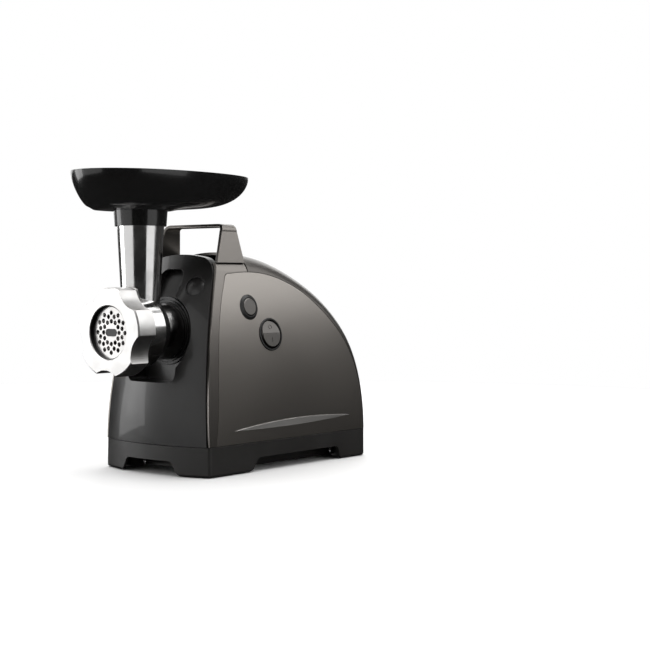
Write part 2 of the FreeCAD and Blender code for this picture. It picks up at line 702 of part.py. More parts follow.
def head_housing():
    """Cast barrel with the throat tube on top, threaded at the front, bored through."""
    outline = [(PLATE_RADIUS + 1, RIM_Y)]
    outline += thread_profile(THREAD_RADIUS, THREAD_RADIUS - THREAD_DEPTH, RIM_Y + 0.5,
                              NUT_REAR_Y, THREAD_PITCH)
    outline += [(THREAD_RADIUS - THREAD_DEPTH, NUT_REAR_Y + 0.6), (BARREL_RADIUS - 1.5, NUT_REAR_Y + 0.6),
                (BARREL_RADIUS, NUT_REAR_Y + 2.1), (BARREL_RADIUS, -106), (BARREL_RADIUS - 1.2, -104),
                (NECK_RADIUS + 2.5, -95), (NECK_RADIUS, -92), (NECK_RADIUS, BARREL_REAR_Y),
                (0, BARREL_REAR_Y), (0, RIM_Y)]
    barrel = turned(outline)
    cone_height = THROAT_CONE_TOP - THROAT_CONE_BOTTOM
    foot = Vec(0, THROAT_Y, THROAT_CONE_BOTTOM)
    throat = Part.makeCone(THROAT_BOTTOM_RADIUS, THROAT_TOP_RADIUS, cone_height, foot, ALONG_Z)
    neck = upright(THROAT_TOP_RADIUS, THROAT_CONE_TOP, THROAT_TOP, (0, THROAT_Y))
    head = fuse_all([barrel, throat, neck])
    head = head.cut(rod(BORE_RADIUS, RIM_Y - 1, BARREL_REAR_Y + 1, (0, HEAD_Z)))
    head = head.cut(rod(PLATE_RADIUS + 0.3, RIM_Y - 1, PLATE_FRONT_Y + PLATE_THICKNESS, (0, HEAD_Z)))
    head = head.cut(Part.makeCone(THROAT_BOTTOM_RADIUS - THROAT_WALL, THROAT_TOP_RADIUS - THROAT_WALL,
                                  cone_height, foot, ALONG_Z))
    head = head.cut(upright(THROAT_TOP_RADIUS - THROAT_WALL, THROAT_CONE_TOP - 0.01, FAR,
                            (0, THROAT_Y)))
    return head


SHAFT_RADIUS = 8.0
CORE_RADIUS = 11.0
BUSHING_FRONT_Y = -56.0


def auger_bushing():
    return ring(BORE_RADIUS, SHAFT_RADIUS + RUNNING_GAP, BUSHING_FRONT_Y, BARREL_REAR_Y, (0, HEAD_Z))


FLIGHT_RADIUS = 26.6
FLIGHT_FRONT_Y = -133.0
FLIGHT_REAR_Y = -60.0
FLIGHT_PITCH = 26.0
FLIGHT_THICKNESS = 5.0
KNIFE_REAR_Y = -136.5
HEX_FLAT = 5.0


def hexagon(flat, y_start, y_end):
    corner = flat / cos(pi / 6)
    points = [Vec(corner * cos(k * pi / 3), y_start, HEAD_Z + corner * sin(k * pi / 3))
              for k in range(7)]
    return Part.Face(Part.makePolygon(points)).extrude(Vec(0, y_end - y_start, 0))


def auger():
    """The feed screw: a round core with one helical flight, and a square front journal."""
    height = FLIGHT_REAR_Y - FLIGHT_FRONT_Y - FLIGHT_THICKNESS
    helix = Part.makeHelix(FLIGHT_PITCH, height, FLIGHT_RADIUS)
    inner = CORE_RADIUS - 2
    profile = Part.makePolygon([Vec(inner, 0, 0), Vec(FLIGHT_RADIUS, 0, 1.2),
                                Vec(FLIGHT_RADIUS, 0, FLIGHT_THICKNESS - 1.2),
                                Vec(inner, 0, FLIGHT_THICKNESS), Vec(inner, 0, 0)])
    flight = Part.Wire(helix).makePipeShell([profile], True, True)
    flight.rotate(Vec(0, 0, 0), ALONG_X, -90)
    flight.translate(Vec(0, FLIGHT_FRONT_Y, HEAD_Z))
    core = rod(CORE_RADIUS, KNIFE_REAR_Y + 0.3, BUSHING_FRONT_Y - 1, (0, HEAD_Z))
    journal = rod(SHAFT_RADIUS, BUSHING_FRONT_Y - 2, -46, (0, HEAD_Z))
    square = box((-4, 4), (-142, KNIFE_REAR_Y + 1), (HEAD_Z - 4, HEAD_Z + 4))
    pin = rod(PIN_RADIUS, -147, -141, (0, HEAD_Z))
    screw = fuse_all([core.fuse(flight), journal, square, pin])
    return screw.cut(hexagon(HEX_FLAT + 0.05, -56, -45))


def knife():
    """Four curved blades on a hub with a square hole, sharp against the plate."""
    front = PLATE_FRONT_Y + PLATE_THICKNESS + 0.3
    blades = []
    for index in range(4):
        blade = box((0, 25.6), (front, KNIFE_REAR_Y), (-5, 3.2))
        bevel = Part.makeBox(60, 12, 12, Vec(-5, KNIFE_REAR_Y - 3.2, 1.6))
        bevel.rotate(Vec(0, KNIFE_REAR_Y - 3.2, 3.2), ALONG_X, -35)
        blade = blade.cut(bevel)
        blade.rotate(Vec(0, 0, 0), ALONG_Y, index * 90 + 20)
        blade.translate(Vec(0, 0, HEAD_Z))
        blades.append(blade)
    hub = rod(9.5, front, KNIFE_REAR_Y, (0, HEAD_Z))
    cross = fuse_all([hub] + blades).common(rod(25.6, front, KNIFE_REAR_Y, (0, HEAD_Z)))
    hole = box((-4.05, 4.05), (-FAR, FAR), (HEAD_Z - 4.05, HEAD_Z + 4.05))
    return cross.cut(hole)


PLATE_RINGS = [(20.9, 0.0), (17.1, 15.0), (11.9, 0.0)]
PLATE_HOLES_PER_RING = 12
PLATE_HOLE_RADIUS = 2.4
BUSH_HALF_LENGTH = 8.9
BUSH_HALF_HEIGHT = 3.85


def obround(half_length, half_height, y_start, y_end):
    reach = half_length - half_height
    middle = box((-reach, reach), (y_start, y_end), (HEAD_Z - half_height, HEAD_Z + half_height))
    ends = [rod(half_height, y_start, y_end, (x, HEAD_Z)) for x in (-reach, reach)]
    return fuse_all([middle] + ends)


def perforated_plate():
    rear = PLATE_FRONT_Y + PLATE_THICKNESS
    plate = rod(PLATE_RADIUS, PLATE_FRONT_Y, rear, (0, HEAD_Z))
    holes = [obround(BUSH_HALF_LENGTH, BUSH_HALF_HEIGHT, PLATE_FRONT_Y - 1, rear + 1)]
    for radius, offset in PLATE_RINGS:
        for index in range(PLATE_HOLES_PER_RING):
            angle = radians(offset + index * 360 / PLATE_HOLES_PER_RING)
            spot = (radius * cos(angle), HEAD_Z + radius * sin(angle))
            holes.append(rod(PLATE_HOLE_RADIUS, PLATE_FRONT_Y - 1, rear + 1, spot))
    return plate.cut(Part.makeCompound(holes))


def plate_bush():
    rear = PLATE_FRONT_Y + PLATE_THICKNESS
    bush = obround(BUSH_HALF_LENGTH, BUSH_HALF_HEIGHT, PLATE_FRONT_Y + 0.4, rear)
    return bush.cut(rod(PIN_RADIUS + RUNNING_GAP, PLATE_FRONT_Y + 1.0, rear + 1, (0, HEAD_Z)))


def ring_nut():
    """A lobed ring that screws on the barrel and holds the plate by its front lip."""
    crest = THREAD_RADIUS + 0.3
    outline = [(NUT_OPENING_RADIUS + NUT_LIP_EDGE, NUT_FRONT_Y),
               (NUT_LOBE_RADIUS - NUT_LIP_EDGE, NUT_FRONT_Y),
               (NUT_LOBE_RADIUS, NUT_FRONT_Y + NUT_LIP_EDGE),
               (NUT_LOBE_RADIUS, NUT_REAR_Y - 1), (NUT_LOBE_RADIUS - 1, NUT_REAR_Y),
               (crest + THREAD_DEPTH, NUT_REAR_Y)]
    outline += reversed(thread_profile(crest, crest + THREAD_DEPTH, -146, NUT_REAR_Y - 0.5, THREAD_PITCH))
    outline += [(crest + THREAD_DEPTH, PLATE_FRONT_Y - 0.1), (NUT_OPENING_RADIUS, PLATE_FRONT_Y - 0.1),
                (NUT_OPENING_RADIUS, NUT_FRONT_Y + NUT_LIP_EDGE)]
    nut = turned(outline)
    reach = NUT_VALLEY_RADIUS + NUT_SCOOP_RADIUS
    for index in range(NUT_LOBES):
        angle = radians(NUT_LOBE_ANGLE + (index + 0.5) * 360 / NUT_LOBES)
        spot = (reach * cos(angle), HEAD_Z + reach * sin(angle))
        nut = nut.cut(rod(NUT_SCOOP_RADIUS, NUT_FRONT_Y - 1, NUT_REAR_Y + 1, spot))
    return nut


def oval(z, front_y, rear_y, half_width_here):
    """A closed oval in plan, blunter than an ellipse, from four curves."""
    middle = 0.5 * (front_y + rear_y)
    pull = 0.60
    corners = [(0, front_y), (half_width_here, middle), (0, rear_y), (-half_width_here, middle)]
    edges = []
    for index in range(4):
        start = corners[index]
        end = corners[(index + 1) % 4]
        if index % 2 == 0:
            first = (start[0] + pull * (end[0] - start[0]), start[1])
            second = (end[0], end[1] + pull * (start[1] - end[1]))
        else:
            first = (start[0], start[1] + pull * (end[1] - start[1]))
            second = (end[0] + pull * (start[0] - end[0]), end[1])
        edges.append(bezier([Vec(x, y, z) for x, y in (start, first, second, end)]))
    return Part.Wire(edges)


def tray_form(inset, floor, top):
    front = TRAY_MIDDLE_Y - TRAY_HALF_LENGTH + inset
    rear = TRAY_MIDDLE_Y + TRAY_HALF_LENGTH - inset
    width = TRAY_HALF_WIDTH - inset
    height = top - floor
    sections = [oval(floor + share * height, front + from_front, rear - from_rear, width - from_side)
                for share, from_front, from_rear, from_side in TRAY_SECTIONS]
    return Part.makeLoft(sections, True, False)


def hopper_tray():
    """A boat-shaped food tray with a collar that drops over the throat tube."""
    bowl = tray_form(0, TRAY_FLOOR, TRAY_TOP)
    hollow = tray_form(TRAY_WALL, TRAY_FLOOR + TRAY_WALL, TRAY_TOP + 0.5)
    collar = Part.makeCone(27.5, 28.8, TRAY_FLOOR + 1 - THROAT_CONE_TOP - 0.3,
                           Vec(0, THROAT_Y, THROAT_CONE_TOP + 0.3), ALONG_Z)
    tray = fuse_all([bowl.cut(hollow), collar])
    tray = tray.cut(upright(THROAT_TOP_RADIUS + 0.3, 0, THROAT_TOP + 0.3, (0, THROAT_Y)))
    return tray.cut(upright(THROAT_TOP_RADIUS - THROAT_WALL + 0.2, 0, FAR, (0, THROAT_Y)))


def head_socket():
    """The ring in the body that takes the barrel's neck, with a groove round its face."""
    axis = (0, HEAD_Z)
    socket = ring(SOCKET_RADIUS - 0.3, NECK_RADIUS + 0.3, -68, -44, axis)
    socket = socket.fuse(ring(SOCKET_RADIUS - 0.3, 14, -44, GEARBOX_FRONT - 3, axis))
    groove = ring(34.6, 33.4, -69, -66.8, axis)
    socket = socket.cut(groove)
    return socket


# ---- gear train ----

def involute(angle):
    return tan(angle) - angle


def gear_face(module, teeth, phase, centre, y):
    """One gear's outline: each flank is an arc through three points of its involute."""
    pitch_radius = module * teeth / 2
    base_radius = pitch_radius * cos(PRESSURE_ANGLE)
    root = pitch_radius - DEDENDUM * module
    tip = pitch_radius + ADDENDUM * module
    half_pitch = pi / teeth
    thick = half_pitch / 2 - BACKLASH / (4 * pitch_radius)

    def half_angle(radius):
        local = acos(min(1.0, base_radius / radius))
        return thick + involute(PRESSURE_ANGLE) - involute(local)

    def spot(radius, angle):
        return Vec(centre[0] + radius * cos(angle), y, centre[1] + radius * sin(angle))

    edges = []
    for index in range(teeth):
        middle = phase + 2 * half_pitch * index
        rising = [spot(radius, middle - half_angle(radius)) for radius in (root, pitch_radius, tip)]
        falling = [spot(radius, middle + half_angle(radius)) for radius in (tip, pitch_radius, root)]
        next_root = spot(root, middle + 2 * half_pitch - half_angle(root))
        root_middle = spot(root, middle + half_pitch)
        edges.append(Part.Arc(*rising).toShape())
        edges.append(Part.Arc(rising[2], spot(tip, middle), falling[0]).toShape())
        edges.append(Part.Arc(*falling).toShape())
        edges.append(Part.Arc(falling[2], root_middle, next_root).toShape())
    return Part.Face(Part.Wire(edges))


def gear(module, teeth, phase, centre, y_start, y_end):
    return gear_face(module, teeth, phase, centre, y_start).extrude(Vec(0, y_end - y_start, 0))


def stage_spacing(stage):
    return stage["module"] * (stage["pinion"] + stage["wheel"]) / 2


def next_axis(axis, stage):
    angle = radians(stage["angle"])
    reach = stage_spacing(stage)
    return (axis[0] + reach * cos(angle), axis[1] + reach * sin(angle))


def mating_phase(phase, teeth, angle, other_teeth):
    """The phase that puts the other gear's gap where this gear's tooth is."""
    offset = phase - angle
    return angle + pi - offset * teeth / other_teeth + pi / other_teeth


OUTPUT_AXIS = (0.0, HEAD_Z)
SECOND_AXIS = next_axis(OUTPUT_AXIS, STAGE_3)
FIRST_AXIS = next_axis(SECOND_AXIS, STAGE_2)
MOTOR_AXIS = next_axis(FIRST_AXIS, STAGE_1)
PHASE_OUTPUT = 0.0
PHASE_THIRD_PINION = mating_phase(PHASE_OUTPUT, STAGE_3["wheel"], radians(STAGE_3["angle"]),
                                  STAGE_3["pinion"])
PHASE_SECOND_WHEEL = 0.0
PHASE_SECOND_PINION = mating_phase(PHASE_SECOND_WHEEL, STAGE_2["wheel"],
                                   radians(STAGE_2["angle"]), STAGE_2["pinion"])
PHASE_FIRST_WHEEL = 0.0
PHASE_MOTOR_PINION = mating_phase(PHASE_FIRST_WHEEL, STAGE_1["wheel"],
                                  radians(STAGE_1["angle"]), STAGE_1["pinion"])


def lightened(wheel, centre, rim, hub, y_start, y_end, web):
    """Turns pockets into both faces of a gear wheel, leaving a rim, a hub and a web."""
    middle = 0.5 * (y_start + y_end)
    front = ring(rim, hub, y_start - 1, middle - web / 2, centre)
    rear = ring(rim, hub, middle + web / 2, y_end + 1, centre)
    return wheel.cut(front).cut(rear)


def output_gear():
    wheel = gear(STAGE_3["module"], STAGE_3["wheel"], PHASE_OUTPUT, OUTPUT_AXIS, -35, -23)
    wheel = lightened(wheel, OUTPUT_AXIS, 36, 17, -35, -23, 5)
    return wheel.cut(rod(11, -FAR, FAR, OUTPUT_AXIS))


def output_shaft():
    shaft = rod(11, -44, 3, OUTPUT_AXIS)
    journal = rod(6, 2, GEARBOX_REAR - 0.5, OUTPUT_AXIS)
    drive = hexagon(HEX_FLAT, -55, -43)
    return fuse_all([shaft, journal, drive])


def gear_2():
    wheel = gear(STAGE_2["module"], STAGE_2["wheel"], PHASE_SECOND_WHEEL, SECOND_AXIS, -19, -9)
    wheel = lightened(wheel, SECOND_AXIS, 26, 13, -19, -9, 5)
    pinion = gear(STAGE_3["module"], STAGE_3["pinion"], PHASE_THIRD_PINION, SECOND_AXIS, -36, -18)
    both = fuse_all([wheel, pinion])
    return both.cut(rod(PIN_RADIUS + RUNNING_GAP, -FAR, FAR, SECOND_AXIS))


def gear_1():
    wheel = gear(STAGE_1["module"], STAGE_1["wheel"], PHASE_FIRST_WHEEL, FIRST_AXIS, -5, 3)
    wheel = lightened(wheel, FIRST_AXIS, 24, 11, -5, 3, 4)
    pinion = gear(STAGE_2["module"], STAGE_2["pinion"], PHASE_SECOND_PINION, FIRST_AXIS, -20, -4)
    both = fuse_all([wheel, pinion])
    return both.cut(rod(PIN_RADIUS + RUNNING_GAP, -FAR, FAR, FIRST_AXIS))


def gearbox_form(grown, y_start, y_end):
    """Round rooms about the gears; the output gear's room is shallow, with a boss behind."""
    rooms = [(SECOND_AXIS, 34), (FIRST_AXIS, 31.5), (MOTOR_AXIS, 13), (OUTPUT_AXIS, 14)]
    rods = [rod(radius + grown, y_start, y_end, axis) for axis, radius in rooms]
    output_rear = min(y_end, OUTPUT_ROOM_REAR + grown)
    rods.append(rod(45.5 + grown, y_start, output_rear, OUTPUT_AXIS))
    return fuse_all(rods)


def gearbox_housing():
    cup = gearbox_form(3, GEARBOX_FRONT, GEARBOX_REAR).cut(gearbox_form(0, GEARBOX_FRONT - 1, 6))
    cup = cup.cut(rod(6 + RUNNING_GAP, 0, FAR, OUTPUT_AXIS))
    cup = cup.cut(rod(9, 0, FAR, MOTOR_AXIS))
    for axis in (FIRST_AXIS, SECOND_AXIS):
        cup = cup.cut(rod(PIN_RADIUS, 0, FAR, axis))
    return cup


def gearbox_cover():
    lid = gearbox_form(3, GEARBOX_FRONT - 3, GEARBOX_FRONT)
    lid = lid.cut(rod(11 + RUNNING_GAP, -FAR, FAR, OUTPUT_AXIS))
    for axis in (FIRST_AXIS, SECOND_AXIS):
        lid = lid.cut(rod(PIN_RADIUS, -FAR, FAR, axis))
    return lid


def gear_pins():
    pins = [rod(PIN_RADIUS, GEARBOX_FRONT - 3, GEARBOX_REAR, axis) for axis in (FIRST_AXIS, SECOND_AXIS)]
    return Part.makeCompound(pins)


def gearbox_screws():
    spots = [(45.0 * cos(radians(a)), HEAD_Z + 45.0 * sin(radians(a))) for a in (0, 60, 120, 180)]
    spots += [(MOTOR_AXIS[0] - 14.3, MOTOR_AXIS[1] - 2), (FIRST_AXIS[0] + 32.8, FIRST_AXIS[1])]
    heads = [rod(2.6, GEARBOX_FRONT - 5, GEARBOX_FRONT - 3, spot) for spot in spots]
    return Part.makeCompound(heads)


# ---- motor ----

STATOR_RADIUS = 35.0
STATOR_Y = (32.0, 78.0)
ROTOR_RADIUS = 19.5
MOTOR_SHAFT_RADIUS = 4.0


def motor_stator():
    core = ring(STATOR_RADIUS, ROTOR_RADIUS + 0.8, *STATOR_Y, MOTOR_AXIS)
    for sign in (1, -1):
        x = MOTOR_AXIS[0] + sign * 24.5
        core = core.cut(rod(4.2, *(y + k for y, k in zip(STATOR_Y, (-1, 1))), (x, MOTOR_AXIS[1] + 8)))
        core = core.cut(rod(4.2, *(y + k for y, k in zip(STATOR_Y, (-1, 1))), (x, MOTOR_AXIS[1] - 8)))
    return core


def motor_windings():
    """The field coils where they come out in a bundle at both ends of the stator."""
    coils = []
    for y_start, y_end in ((STATOR_Y[0] - 9, STATOR_Y[0]), (STATOR_Y[1], STATOR_Y[1] + 9)):
        bundle = ring(29.5, 22, y_start, y_end, MOTOR_AXIS)
        gap = box((-3, 3), (y_start - 1, y_end + 1), (0, FAR))
        coils.append(bundle.cut(gap))
    return Part.makeCompound([solid for coil in coils for solid in coil.Solids])


def motor_bracket(y_start, y_end, toward):
    """A bridge across the motor that holds one bearing and bolts to the stator."""
    bar = box((-9, 9), (y_start, y_end), (MOTOR_AXIS[1] - 33, MOTOR_AXIS[1] + 33))
    hub = rod(12, y_start, y_end, MOTOR_AXIS)
    legs = []
    for sign in (1, -1):
        middle = MOTOR_AXIS[1] + sign * 31.5
        legs.append(box((-9, 9), sorted((y_start if toward > y_start else y_end, toward)),
                        (middle - 1.5, middle + 1.5)))
    frame = fuse_all([bar, hub] + legs)
    return frame.cut(rod(8, -FAR, FAR, MOTOR_AXIS))


def motor_bearings():
    bearings = []
    for y_start, y_end in ((13, 18), (112, 117)):
        bearings.append(ring(8, MOTOR_SHAFT_RADIUS + RUNNING_GAP, y_start, y_end, MOTOR_AXIS))
    return Part.makeCompound(bearings)


def brush_holders():
    holders = []
    for sign in (1, -1):
        x_range = sorted((sign * 12.4, sign * 34))
        holders.append(box(x_range, (94, 103), (MOTOR_AXIS[1] - 4.5, MOTOR_AXIS[1] + 4.5)))
    return Part.makeCompound(holders)


def motor_shaft():
    shaft = rod(MOTOR_SHAFT_RADIUS, 4, 132, MOTOR_AXIS)
    pinion = gear(STAGE_1["module"], STAGE_1["pinion"], PHASE_MOTOR_PINION, MOTOR_AXIS, -5.5, 5)
    return fuse_all([shaft, pinion])


def rotor_core():
    core = ring(ROTOR_RADIUS, MOTOR_SHAFT_RADIUS, *STATOR_Y, MOTOR_AXIS)
    slots = []
    for index in range(12):
        angle = radians(index * 30)
        spot = (MOTOR_AXIS[0] + 15.2 * cos(angle), MOTOR_AXIS[1] + 15.2 * sin(angle))
        slots.append(rod(2.6, STATOR_Y[0] - 1, STATOR_Y[1] + 1, spot))
    return core.cut(Part.makeCompound(slots))


def commutator():
    drum = ring(12, MOTOR_SHAFT_RADIUS, 92, 106, MOTOR_AXIS)
    grooves = []
    for index in range(24):
        groove = box((11.3, 13), (91, 107), (-0.3, 0.3))
        groove.rotate(Vec(0, 0, 0), ALONG_Y, index * 15)
        groove.translate(Vec(MOTOR_AXIS[0], 0, MOTOR_AXIS[1]))
        grooves.append(groove)
    return drum.cut(Part.makeCompound(grooves))


def cooling_fan():
    hub = ring(9, MOTOR_SHAFT_RADIUS, 120, 131, MOTOR_AXIS)
    disc = ring(31, 9, 129, 131, MOTOR_AXIS)
    blades = []
    for index in range(11):
        blade = box((8.5, 31), (120, 129.5), (-0.9, 0.9))
        blade.rotate(Vec(0, 0, 0), ALONG_Y, index * 360 / 11)
        blade.translate(Vec(MOTOR_AXIS[0], 0, MOTOR_AXIS[1]))
        blades.append(blade)
    return fuse_all([hub, disc] + blades)


GLAND_BORE = 3.6


def cord_gland():
    """The rubber grommet at the rear that a mains lead goes through."""
    body = rod(GLAND_RADIUS - 0.1, 176, 187.6, (0, GLAND_Z))
    collar = rod(GLAND_RADIUS + 2, 178, 183, (0, GLAND_Z))
    return fuse_all([body, collar]).cut(rod(GLAND_BORE, 150, FAR, (0, GLAND_Z)))


def build():
    os.makedirs("parts", exist_ok=True)
    right_band = band()
    right_blade = trim_blade()
    pieces = {
        "base_housing": base_housing(),
        "bottom_plate": bottom_plate(),
        "rubber_feet": rubber_feet(),
        "bottom_screws": bottom_screws(),
        "front_cover": front_cover(),
        "band_right": right_band,
        "band_left": mirrored(right_band),
        "carry_handle": carry_handle(),
        "side_panel_right": side_panel(),
        "side_panel_left": plain_side_panel(),
        "top_cover": top_cover(),
        "trim_blade_right": right_blade,
        "trim_blade_left": mirrored(right_blade),
        "reverse_bezel": reverse_bezel(),
        "reverse_button": reverse_button(),
        "reverse_switch": switch_body(REVERSE_FRAME, 7, -16.5, 14),
        "power_bezel": power_bezel(),
        "power_rocker": power_rocker(),
        "power_switch": switch_body(POWER_FRAME, 12, -14.5, 18),
        "release_bezel": release_bezel(),
        "release_button": release_button(),
        "head_socket": head_socket(),
        "head_housing": head_housing(),
        "auger_bushing": auger_bushing(),
        "auger": auger(),
        "knife": knife(),
        "perforated_plate": perforated_plate(),
        "plate_bush": plate_bush(),
        "ring_nut": ring_nut(),
        "hopper_tray": hopper_tray(),
        "output_shaft": output_shaft(),
        "output_gear": output_gear(),
        "gear_2": gear_2(),
        "gear_1": gear_1(),
        "gear_pins": gear_pins(),
        "gearbox_housing": gearbox_housing(),
        "gearbox_cover": gearbox_cover(),
        "gearbox_screws": gearbox_screws(),
        "motor_shaft": motor_shaft(),
        "rotor_core": rotor_core(),
        "commutator": commutator(),
        "cooling_fan": cooling_fan(),
        "motor_stator": motor_stator(),
        "motor_windings": motor_windings(),
        "motor_bracket_front": motor_bracket(13, 18, 32),
        "motor_bracket_rear": motor_bracket(112, 117, 78),
        "motor_bearings": motor_bearings(),
        "brush_holders": brush_holders(),
        "cord_gland": cord_gland(),
    }
    for name, shape in pieces.items():
        save(name, shape)
        limits = shape.BoundBox
        print(name, shape.isValid(), len(shape.Solids), round(shape.Volume),
              [round(value, 1) for value in (limits.XMin, limits.XMax, limits.YMin, limits.YMax,
                                             limits.ZMin, limits.ZMax)])


build()
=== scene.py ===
import bmesh
import bpy
from math import cos, pi, radians, sin
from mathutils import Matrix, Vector

# Looks of the electric meat grinder. Metres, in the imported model's frame.

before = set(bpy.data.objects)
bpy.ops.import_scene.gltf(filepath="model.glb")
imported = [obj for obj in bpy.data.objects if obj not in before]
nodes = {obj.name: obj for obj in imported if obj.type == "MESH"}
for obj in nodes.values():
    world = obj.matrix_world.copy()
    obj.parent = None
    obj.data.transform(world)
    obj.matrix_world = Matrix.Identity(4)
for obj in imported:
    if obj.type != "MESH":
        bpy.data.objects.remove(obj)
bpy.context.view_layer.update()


# ---- small helpers ----

def smooth_by_angle(mesh, degrees):
    """Smooth shading, kept sharp at edges that turn by more than the given angle."""
    mesh.polygons.foreach_set("use_smooth", [True] * len(mesh.polygons))
    mesh.set_sharp_from_angle(angle=radians(degrees))


def new_piece(name, mesh):
    """Puts a mesh into the scene as a named object."""
    piece = bpy.data.objects.new(name, mesh)
    bpy.context.scene.collection.objects.link(piece)
    return piece


def piece_from_bmesh(name, work, smooth_degrees=35):
    """Turns a bmesh into a named object and frees the bmesh."""
    mesh = bpy.data.meshes.new(name)
    bmesh.ops.recalc_face_normals(work, faces=work.faces)
    work.to_mesh(mesh)
    work.free()
    smooth_by_angle(mesh, smooth_degrees)
    return new_piece(name, mesh)


# ---- materials ----

RUBBED_GAIN = 1.12
LACQUER_COAT_WEIGHT = 0.15
LACQUER_COAT_ROUGHNESS = 0.15
MAPPED_RANGE = (0.3, 0.7)
LACQUER_RANGE = (0.15, 0.85)
EDGE_RANGE = (0.86, 0.99)
PATCH_RANGE = (0.4, 0.65)
OPENING_BLEND = 0.0002
# Painted shade: the dark colour given to the nut's inner wall.
PAINTED_SHADE_INSIDE = (0.03, 0.03, 0.03, 1)


class Nodes:
    """Short calls for building one material's node tree."""

    def __init__(self, name):
        self.material = bpy.data.materials.new(name)
        self.material.use_nodes = True
        self.tree = self.material.node_tree
        self.shader = self.tree.nodes["Principled BSDF"]

    def add(self, kind, **settings):
        node = self.tree.nodes.new(kind)
        for key, value in settings.items():
            if key in node.inputs:
                node.inputs[key].default_value = value
            else:
                setattr(node, key, value)
        return node

    def link(self, source, target):
        self.tree.links.new(source, target)

    def position(self):
        return self.add("ShaderNodeTexCoord").outputs["Object"]

    def noise(self, scale, detail=3.0, stretch=None, distortion=0.0):
        place = self.position()
        if stretch:
            mapping = self.add("ShaderNodeMapping")
            mapping.inputs["Scale"].default_value = stretch
            self.link(place, mapping.inputs["Vector"])
            place = mapping.outputs["Vector"]
        texture = self.add("ShaderNodeTexNoise")
        texture.inputs["Scale"].default_value = scale
        texture.inputs["Detail"].default_value = detail
        texture.inputs["Distortion"].default_value = distortion
        self.link(place, texture.inputs["Vector"])
        return texture.outputs["Fac"]

    def spread(self, value, low, high, start=MAPPED_RANGE[0], end=MAPPED_RANGE[1]):
        """Maps a texture's middle range onto low to high."""
        ramp = self.add("ShaderNodeMapRange", interpolation_type="SMOOTHSTEP")
        ramp.inputs["From Min"].default_value = start
        ramp.inputs["From Max"].default_value = end
        ramp.inputs["To Min"].default_value = low
        ramp.inputs["To Max"].default_value = high
        self.link(value, ramp.inputs["Value"])
        return ramp.outputs["Result"]

    def blend_colours(self, factor, first, second):
        mix = self.add("ShaderNodeMix", data_type="RGBA")
        mix.inputs[6].default_value = (*first, 1)
        mix.inputs[7].default_value = (*second, 1)
        self.link(factor, mix.inputs[0])
        return mix.outputs[2]

    def soft_normal(self, radius):
        """A normal that rounds sharp edges over the given radius."""
        bevel = self.add("ShaderNodeBevel", samples=4)
        bevel.inputs["Radius"].default_value = radius
        return bevel.outputs["Normal"]

    def bump(self, value, height, strength=1.0, edge=0.0004):
        bump = self.add("ShaderNodeBump")
        bump.inputs["Strength"].default_value = strength
        bump.inputs["Distance"].default_value = height
        self.link(value, bump.inputs["Height"])
        self.link(self.soft_normal(edge), bump.inputs["Normal"])
        self.link(bump.outputs["Normal"], self.shader.inputs["Normal"])

    def worn_edges(self, radius):
        """1 on sharp edges, 0 elsewhere, broken up by noise."""
        plain = self.add("ShaderNodeNewGeometry")
        dot = self.add("ShaderNodeVectorMath", operation="DOT_PRODUCT")
        self.link(self.soft_normal(radius), dot.inputs[0])
        self.link(plain.outputs["Normal"], dot.inputs[1])
        edge = self.spread(dot.outputs["Value"], 1.0, 0.0, *EDGE_RANGE)
        patches = self.spread(self.noise(45.0, 4.0), 0.15, 1.0, *PATCH_RANGE)
        return self.multiply(edge, patches)

    def multiply(self, first, second):
        product = self.add("ShaderNodeMath", operation="MULTIPLY")
        self.link(first, product.inputs[0])
        self.link(second, product.inputs[1])
        return product.outputs["Value"]

    def wear(self, base, worn, radius):
        """Blends a lighter colour over the base colour along the edges: rubbed wear, and on the
        bright trim also a painted highlight.
        """
        mix = self.add("ShaderNodeMix", data_type="RGBA")
        mix.inputs[7].default_value = (*worn, 1)
        self.link(self.worn_edges(radius), mix.inputs[0])
        self.link(base, mix.inputs[6])
        return mix.outputs[2]

    def near_axis(self, radius, height):
        """1 inside a cylinder along Y at the given height, 0 outside it."""
        shifted = self.add("ShaderNodeVectorMath", operation="SUBTRACT")
        shifted.inputs[1].default_value = (0, 0, height)
        self.link(self.position(), shifted.inputs[0])
        flat = self.add("ShaderNodeVectorMath", operation="MULTIPLY")
        flat.inputs[1].default_value = (1, 0, 1)
        self.link(shifted.outputs["Vector"], flat.inputs[0])
        reach = self.add("ShaderNodeVectorMath", operation="LENGTH")
        self.link(flat.outputs["Vector"], reach.inputs[0])
        return self.spread(reach.outputs["Value"], 1.0, 0.0,
                           radius - OPENING_BLEND, radius + OPENING_BLEND)


def plastic(name, dark, light, rough, grain_scale, grain_height, coat=0.0, spread=0.05,
            worn=None):
    """A moulded plastic: slight cloudy colour, moulded grain, roughness that varies."""
    made = Nodes(name)
    colour = made.blend_colours(made.noise(14.0), dark, light)
    if worn:
        colour = made.wear(colour, worn, 0.0006)
    made.link(colour, made.shader.inputs["Base Color"])
    smudge = made.noise(32.0, 5.0, distortion=0.4)
    made.link(made.spread(smudge, rough - spread, rough + spread), made.shader.inputs["Roughness"])
    made.bump(made.noise(grain_scale, 2.0), grain_height)
    made.shader.inputs["Coat Weight"].default_value = coat
    made.shader.inputs["Coat Roughness"].default_value = 0.03
    return made.material


